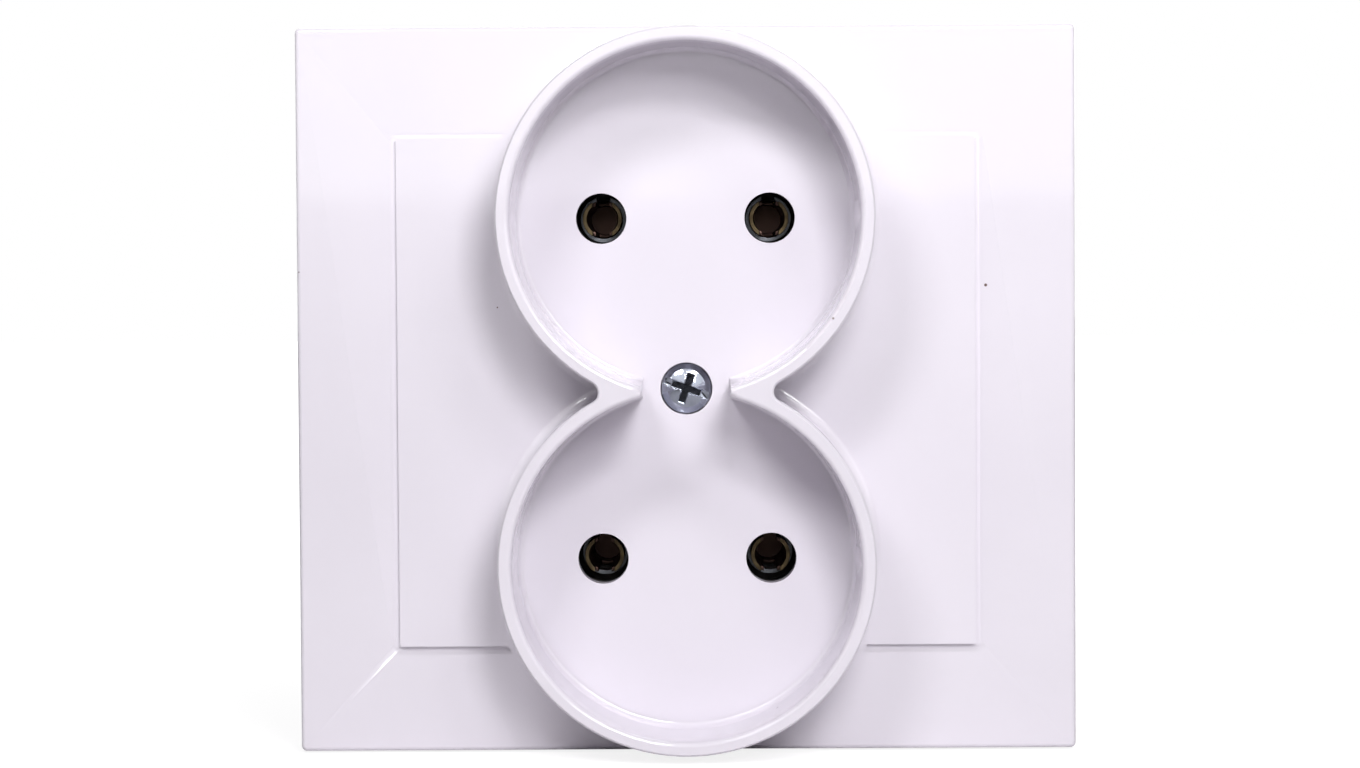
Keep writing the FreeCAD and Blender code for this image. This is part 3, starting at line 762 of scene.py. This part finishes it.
def bright_card(strength):
    """Evenly bright face that only reflections see."""
    material = bpy.data.materials.new("card_bright")
    material.use_nodes = True
    material.node_tree.nodes.clear()
    glow = add_node(material.node_tree, "Emission", {"Strength": strength})
    add_node(material.node_tree, "OutputMaterial", links={"Surface": glow.outputs["Emission"]})
    side, back, low, top = 0.5, -0.46, 0.03, 0.5
    corners = [(-side, back, low), (side, back, low), (side, back, top), (-side, back, top)]
    card = flat_stage("bright_card", corners, material)
    card.visible_camera = card.visible_shadow = False
    card.visible_diffuse = card.visible_transmission = False


def studio_world():
    """No light of its own, but white where the camera or a reflection looks past the object."""
    world = bpy.data.worlds.new("studio")
    bpy.context.scene.world = world
    world.use_nodes = True
    tree = world.node_tree
    tree.nodes.clear()
    path = add_node(tree, "LightPath")
    seen = add_node(tree, "Math", {"operation": "MAXIMUM"},
                    {0: path.outputs["Is Camera Ray"], 1: path.outputs["Is Glossy Ray"]})
    seen = add_node(tree, "Math", {"operation": "MAXIMUM"},
                    {0: seen.outputs["Value"], 1: path.outputs["Is Transmission Ray"]})
    dark = add_node(tree, "Background", {"Strength": 0.0})
    white = add_node(tree, "Background", {"Color": (1, 1, 1, 1), "Strength": 1.0})
    mixed = add_node(tree, "MixShader", links={"Fac": seen.outputs["Value"]})
    tree.links.new(dark.outputs["Background"], mixed.inputs[1])
    tree.links.new(white.outputs["Background"], mixed.inputs[2])
    add_node(tree, "OutputWorld", links={"Surface": mixed.outputs["Shader"]})


class SOCKET_OT_stage(Operator):
    """Set up the floor, the lights and the camera"""

    bl_idname = "socket.stage"
    bl_label = "Stage"

    def execute(self, context):
        look = context.scene.socket_stage
        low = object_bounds()[0].z
        floor = white_to_camera()
        flat_stage("floor", [(-2, -2, low), (2, -2, low), (2, 2, low), (-2, 2, low)], floor)
        studio_world()
        bright_card(look.card)
        for name, (place, size, way) in LAMPS.items():
            area_lamp(name, place, size, way, getattr(look, name))
        grey = {"Base Color": (*linear(DARK_CARD_COLOUR), 1), "Roughness": 0.9}
        card_material, _, _ = new_material("card_matt_grey", grey)
        side, back, top = 0.5, -0.45, 0.03
        corners = [(-side, back, low), (side, back, low), (side, back, top), (-side, back, top)]
        flat_stage("dark_card", corners, card_material).visible_camera = False

        data = bpy.data.cameras.new("camera")
        data.sensor_fit = "HORIZONTAL"
        data.sensor_width = SENSOR_W
        data.lens = look.focal_px / PHOTO_W * SENSOR_W
        data.clip_start = 0.01
        camera = bpy.data.objects.new("camera", data)
        context.scene.collection.objects.link(camera)
        back = Vector((
            math.sin(look.azimuth) * math.cos(look.elevation),
            -math.cos(look.azimuth) * math.cos(look.elevation),
            math.sin(look.elevation),
        ))
        target = Vector(CAMERA_TARGET)
        aim(camera, target + back * look.distance, target, look.roll)
        context.scene.camera = camera
        context.scene.view_settings.view_transform = "Standard"
        return {"FINISHED"}


OPERATORS = (
    SOCKET_OT_cover,
    SOCKET_OT_screws,
    SOCKET_OT_contacts,
    SOCKET_OT_mouldings,
    SOCKET_OT_strap,
    SOCKET_OT_stage,
)


class SOCKET_PT_panel(Panel):
    """The pieces and their settings"""

    bl_label = "Twin socket"
    bl_idname = "SOCKET_PT_panel"
    bl_space_type = "VIEW_3D"
    bl_region_type = "UI"
    bl_category = "Socket"

    def draw(self, context):
        for operator in OPERATORS:
            self.layout.operator(operator.bl_idname)
        for group in LOOKS:
            box = self.layout.box()
            for name in LOOKS[group].__annotations__:
                box.prop(getattr(context.scene, group), name)


LOOKS = {
    "socket_cover": CoverLook,
    "socket_metal": MetalLook,
    "socket_base": BaseLook,
    "socket_stage": StageLook,
}


def register():
    for group, look in LOOKS.items():
        bpy.utils.register_class(look)
        setattr(bpy.types.Scene, group, PointerProperty(type=look))
    for cls in OPERATORS + (SOCKET_PT_panel,):
        bpy.utils.register_class(cls)


def unregister():
    for cls in reversed(OPERATORS + (SOCKET_PT_panel,)):
        bpy.utils.unregister_class(cls)
    for group, look in LOOKS.items():
        delattr(bpy.types.Scene, group)
        bpy.utils.unregister_class(look)


def main():
    register()
    bpy.ops.socket.cover()
    bpy.ops.socket.screws()
    bpy.ops.socket.contacts()
    bpy.ops.socket.mouldings()
    bpy.ops.socket.strap()
    bpy.ops.socket.stage()


if __name__ == "__main__":
    main()
